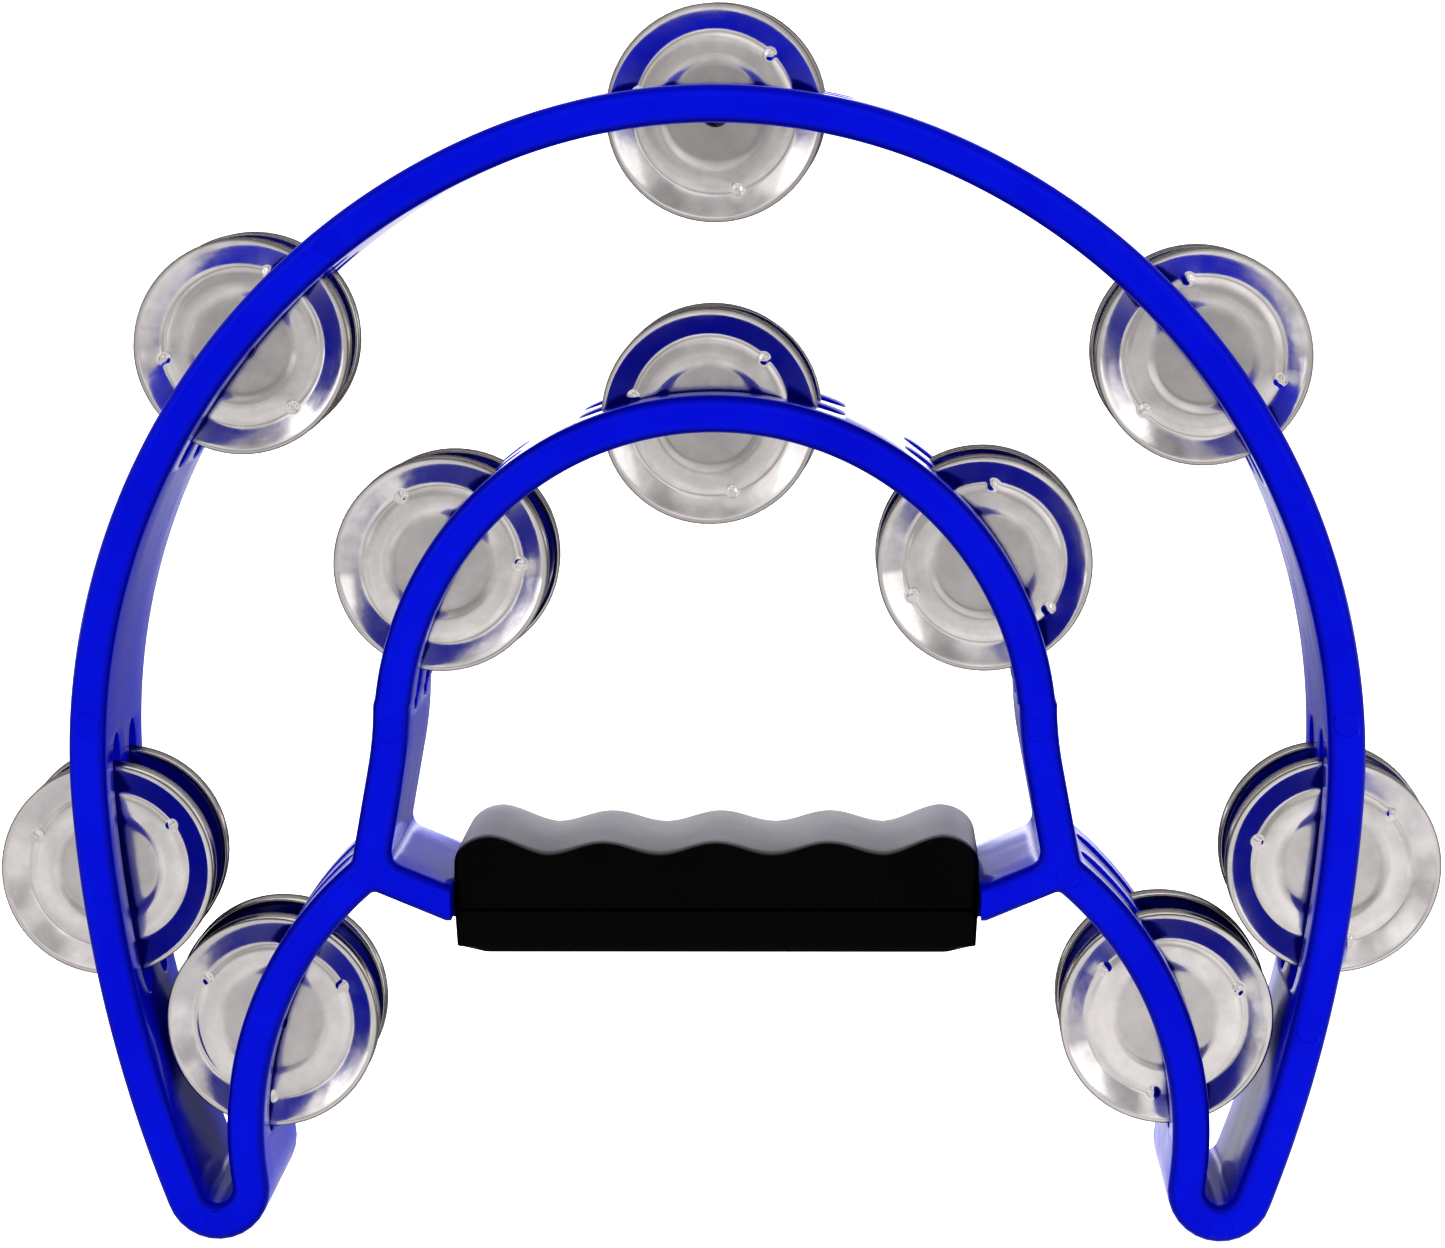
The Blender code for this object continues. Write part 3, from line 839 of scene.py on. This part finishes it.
def polished_steel():
    """Bright stamped sheet with spinning marks round its middle, faint smears and a grain; painted reflection
    darkens its flat middle and brightens the ring round it, and painted shade darkens its outer edge.
    """
    shader = Shader("jingle_steel")
    shader.set(Metallic=1.0)
    parts = shader.node("ShaderNodeSeparateXYZ", {"Vector": shader.place})
    squares = [shader.math("POWER", parts.outputs[axis], 2.0) for axis in ("X", "Z")]
    radius = shader.math("SQRT", shader.math("ADD", *squares))
    flat = shader.node("ShaderNodeCombineXYZ", {"X": radius, "Y": 0.0, "Z": 0.0}).outputs[0]
    rings = shader.node("ShaderNodeTexNoise", {"Vector": flat, "Scale": 2600.0, "Detail": 3.0}).outputs["Fac"]
    smear = shader.noise(140.0, 4.0, 0.6)
    # Painted reflection: the flat middle is a darker steel and the ring round it a brighter steel, standing
    # in for the different reflections they catch.
    middle = shader.ramp(radius, 9.0 * MM, 10.2 * MM, 1.0, 0.0)
    past_middle = shader.ramp(radius, 9.6 * MM, 10.8 * MM, 0.0, 1.0)
    past_ring = shader.ramp(radius, 13.6 * MM, 15.0 * MM, 0.0, 1.0)
    ring = shader.math("SUBTRACT", past_middle, past_ring)
    colour = shader.mix(middle, (0.66, 0.637, 0.630, 1.0), (0.56, 0.540, 0.535, 1.0))
    colour = shader.mix(ring, colour, (0.73, 0.705, 0.697, 1.0))
    shade = shader.ramp(smear, 0.35, 0.7, 0.0, 0.22)
    colour = shader.mix(shade, colour, (0.2, 0.19, 0.185, 1.0))
    # Painted shade: the disc's outermost edge is darkened nearly to black.
    rim = shader.ramp(radius, 19.8 * MM, 20.1 * MM, 0.0, 0.8)
    colour = shader.mix(rim, colour, (0.06, 0.057, 0.055, 1.0))
    shader.link(colour, shader.main.inputs["Base Color"])
    turned = shader.ramp(rings, 0.3, 0.7, 0.0, 0.03)
    rough = shader.math("ADD", shader.ramp(smear, 0.3, 0.75, 0.07, 0.15), turned)
    shader.link(rough, shader.main.inputs["Roughness"])
    ring_bump = shader.bump(rings, 0.0012 * MM)
    sheet = shader.bump(shader.noise(210.0, 2.0), 0.02 * MM, 1.0, ring_bump)
    shader.link(sheet, shader.main.inputs["Normal"])
    return shader.material


def drawn_steel():
    """Plain wire, with drawing marks along its length."""
    shader = Shader("pin_steel")
    shader.set(Metallic=1.0)
    lines = shader.noise(1500.0, 4.0, 0.6, (1.0, 0.03, 1.0))
    colour = shader.mix(lines, (0.42, 0.41, 0.40, 1.0), (0.62, 0.60, 0.58, 1.0))
    shader.link(colour, shader.main.inputs["Base Color"])
    shader.link(shader.ramp(lines, 0.3, 0.7, 0.22, 0.38), shader.main.inputs["Roughness"])
    shader.link(shader.bump(lines, 0.006 * MM), shader.main.inputs["Normal"])
    return shader.material


def black_rubber():
    """Satin moulded rubber with a fine grain and specks, paler grey where it faces up: dusty there, and with
    a painted sheen from the light above.
    """
    shader = Shader("black_rubber")
    shader.set(Metallic=0.0, IOR=1.5, Specular_IOR_Level=0.1)
    grain = shader.noise(2400.0, 3.0, 0.6)
    patches = shader.noise(45.0, 4.0, 0.55)
    specks = shader.ramp(shader.noise(1700.0, 1.0), 0.78, 0.82, 0.0, 1.0)
    worn = shader.ramp(patches, 0.35, 0.7, 0.0, 1.0)
    base = shader.mix(worn, (0.0010, 0.0009, 0.0012, 1.0), (0.0024, 0.0019, 0.0022, 1.0))
    # Where the rubber faces up it turns a paler grey: dusty, and also a painted sheen from the light above.
    # The same mask sets the real sheen lobe.
    facing_up = shader.node("ShaderNodeSeparateXYZ", {"Vector": shader.normal}).outputs["Z"]
    height = shader.node("ShaderNodeSeparateXYZ", {"Vector": shader.place}).outputs["Z"]
    above_seam = shader.ramp(height, SEAM_HEIGHT + 1.0 * MM, SEAM_HEIGHT + 2.0 * MM, 0.0, 1.0)
    dust_and_painted_sheen = shader.ramp(facing_up, 0.35, 0.9, 0.0, 1.0)
    dust_and_painted_sheen = shader.math("MULTIPLY", dust_and_painted_sheen, shader.ramp(patches, 0.3, 0.7, 1.0, 0.85))
    dust_and_painted_sheen = shader.math("MULTIPLY", dust_and_painted_sheen, above_seam)
    base = shader.mix(dust_and_painted_sheen, base, (0.2, 0.193, 0.196, 1.0))
    shader.link(shader.math("MULTIPLY", dust_and_painted_sheen, 0.38), shader.main.inputs["Sheen Weight"])
    shader.link(shader.mix(specks, base, (0.02, 0.02, 0.02, 1.0)), shader.main.inputs["Base Color"])
    coarse = shader.ramp(grain, 0.3, 0.7, 0.0, 0.05)
    rough = shader.math("ADD", shader.ramp(patches, 0.3, 0.7, 0.32, 0.40), coarse)
    shader.link(rough, shader.main.inputs["Roughness"])
    shader.link(shader.bump(grain, 0.012 * MM), shader.main.inputs["Normal"])
    return shader.material


# Studio

def pale_floor():
    """White where it is seen directly. In reflections, grey in front, dark behind and pale up the sweep.

    A pale patch behind the right half gives the right horn tip its bright inner wall.
    """
    shader = Shader("studio_floor")
    parts = shader.node("ShaderNodeSeparateXYZ", {"Vector": shader.place})
    x, y, z = (parts.outputs[axis] for axis in "XYZ")
    near = shader.ramp(y, -1.3, -0.25, 0.52, 0.68)
    behind = shader.ramp(y, -0.05, 0.12, 0.0, 0.54)
    further = shader.ramp(y, 0.6, 1.0, 0.0, 0.5)
    foot = shader.ramp(z, 0.02, 0.2, 0.0, 1.3)
    sweep = shader.math("MULTIPLY", foot, shader.ramp(z, 0.28, 0.38, 1.0, -0.1))
    right_half = shader.ramp(x, 0.02, 0.07, 0.0, 0.6)
    patch = shader.math("MULTIPLY", behind, shader.ramp(y, 0.3, 0.4, 2.0, 0.0))
    patch = shader.math("MULTIPLY", right_half, patch)
    cloud = shader.ramp(shader.noise(9.0, 2.0, 0.5, (1.0, 0.25, 1.0)), 0.35, 0.65, 0.74, 1.08)
    plain = shader.math("MULTIPLY", shader.math("SUBTRACT", near, behind), cloud)
    mirrored = shader.math("ADD", shader.math("ADD", plain, further), shader.math("ADD", sweep, patch))
    grain = shader.ramp(shader.noise(6.0, 2.0), 0.3, 0.7, 0.80, 0.82)
    direct = shader.node("ShaderNodeLightPath").outputs["Is Camera Ray"]
    glow = shader.node("ShaderNodeMix", data_type="FLOAT")
    for index, value in ((0, direct), (2, mirrored), (3, grain)):
        shader.link(value, glow.inputs[index])
    shader.link(glow.outputs[0], shader.main.inputs["Emission Strength"])
    tone = shader.mix(direct, (0.12, 0.12, 0.12, 1.0), (0.6, 0.6, 0.6, 1.0))
    shader.link(tone, shader.main.inputs["Base Color"])
    shader.main.inputs["Emission Color"].default_value = (1.0, 0.99, 0.985, 1.0)
    shader.set(Roughness=0.9, Specular_IOR_Level=0.1)
    return shader.material


def make_floor():
    """A floor that sweeps up behind the object."""
    width, near, far, height, radius = 6.0, -4.0, 1.4, 3.0, 0.8
    profile = [(near, 0.0)]
    profile += [
        (far + radius * math.sin(a), radius * (1 - math.cos(a)))
        for a in (math.radians(5 * i) for i in range(19))
    ]
    profile.append((far + radius, height))
    solid = bmesh.new()
    rows = [[solid.verts.new((x, y, z)) for y, z in profile] for x in (-width, width)]
    for i in range(len(profile) - 1):
        solid.faces.new((rows[0][i], rows[1][i], rows[1][i + 1], rows[0][i + 1]))
    mesh = bpy.data.meshes.new("floor")
    solid.to_mesh(mesh)
    solid.free()
    mesh.shade_smooth()
    add_object("floor", mesh, pale_floor())


def add_light(name, place, target, size, power, mirrored=True):
    light = bpy.data.lights.new(name, "AREA")
    light.shape = "RECTANGLE"
    light.size, light.size_y = size
    light.energy = power
    lamp = bpy.data.objects.new(name, light)
    lamp.visible_glossy = mirrored
    lamp.location = place
    lamp.rotation_euler = (Vector(target) - Vector(place)).to_track_quat("-Z", "Y").to_euler()
    bpy.context.scene.collection.objects.link(lamp)


def studio_world():
    """White where it is seen directly. In reflections, bright in front and dim above and behind."""
    world = bpy.data.worlds.new("studio")
    world.use_nodes = True
    tree = world.node_tree

    def node(kind, inputs=(), **settings):
        made = tree.nodes.new(kind)
        for name, value in settings.items():
            setattr(made, name, value)
        for name, value in dict(inputs).items():
            if isinstance(value, bpy.types.NodeSocket):
                tree.links.new(value, made.inputs[name])
            else:
                made.inputs[name].default_value = value
        return made

    def ramp(value, low, high, low_value, high_value):
        inputs = {"Value": value, "From Min": low, "From Max": high}
        inputs.update({"To Min": low_value, "To Max": high_value})
        return node("ShaderNodeMapRange", inputs).outputs["Result"]

    def times(a, b):
        return node("ShaderNodeMath", {0: a, 1: b}, operation="MULTIPLY").outputs[0]

    way = node("ShaderNodeTexCoord").outputs["Generated"]
    parts = node("ShaderNodeSeparateXYZ", {"Vector": way})
    front = ramp(parts.outputs["Y"], -0.985, -0.92, 0.60, 0.75)
    back = ramp(parts.outputs["Y"], -0.3, 0.3, 1.0, 0.7)
    above = ramp(parts.outputs["Z"], 0.6, 1.0, 1.0, 0.45)
    noise = node("ShaderNodeTexNoise", {"Vector": way, "Scale": 2.6, "Detail": 2.0}).outputs["Fac"]
    cloud = ramp(noise, 0.35, 0.65, 0.6, 1.25)
    seen = times(times(front, back), times(above, cloud))
    direct = node("ShaderNodeLightPath").outputs["Is Camera Ray"]
    strength = node("ShaderNodeMath", {0: seen, 1: direct}, operation="MAXIMUM").outputs[0]
    background = tree.nodes["Background"]
    tree.links.new(strength, background.inputs["Strength"])
    background.inputs["Color"].default_value = (1.0, 0.99, 0.985, 1.0)
    bpy.context.scene.world = world


def make_studio():
    studio_world()
    middle = (0.0, 0.0, 0.1)
    add_light("left", (-1.25, -0.95, 0.75), middle, (0.45, 1.5), 1.1)
    add_light("right", (1.25, -1.05, 0.75), middle, (0.45, 1.5), 1.1)
    add_light("front_fill", (0.0, -2.0, 0.9), middle, (1.5, 1.5), 3.2, mirrored=False)
    add_light("top_fill", (0.0, 0.35, 1.7), middle, (1.6, 0.8), 9.0, mirrored=False)
    add_light("left_fill", (-1.5, 0.35, 0.35), middle, (1.0, 1.0), 8.0, mirrored=False)
    add_light("right_fill", (1.5, 0.35, 0.35), middle, (1.0, 1.0), 8.0, mirrored=False)


def make_camera():
    data = bpy.data.cameras.new("camera")
    data.sensor_width = SENSOR_WIDTH
    data.lens = LENS
    camera = bpy.data.objects.new("camera", data)
    turn = Matrix.Rotation(math.radians(CAMERA_TURN), 4, "Z")
    tilt = Matrix.Rotation(math.radians(CAMERA_TILT), 4, "X")
    roll = Matrix.Rotation(math.radians(CAMERA_ROLL), 4, "Z")
    camera.matrix_world = Matrix.Translation(CAMERA_PLACE) @ turn @ tilt @ roll
    bpy.context.scene.collection.objects.link(camera)
    bpy.context.scene.camera = camera


make_camera()
make_floor()
make_studio()
bpy.context.scene.view_settings.view_transform = "Standard"
bpy.context.scene.view_settings.look = "High Contrast"

rubber = black_rubber()
make_frame(blue_plastic())
for grip, node in ((make_grip_upper(rubber), "grip_upper"), (make_grip_lower(rubber), "grip_lower")):
    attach(grip, "frame")
    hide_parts(node)
make_pins(drawn_steel())
make_jingles(polished_steel())
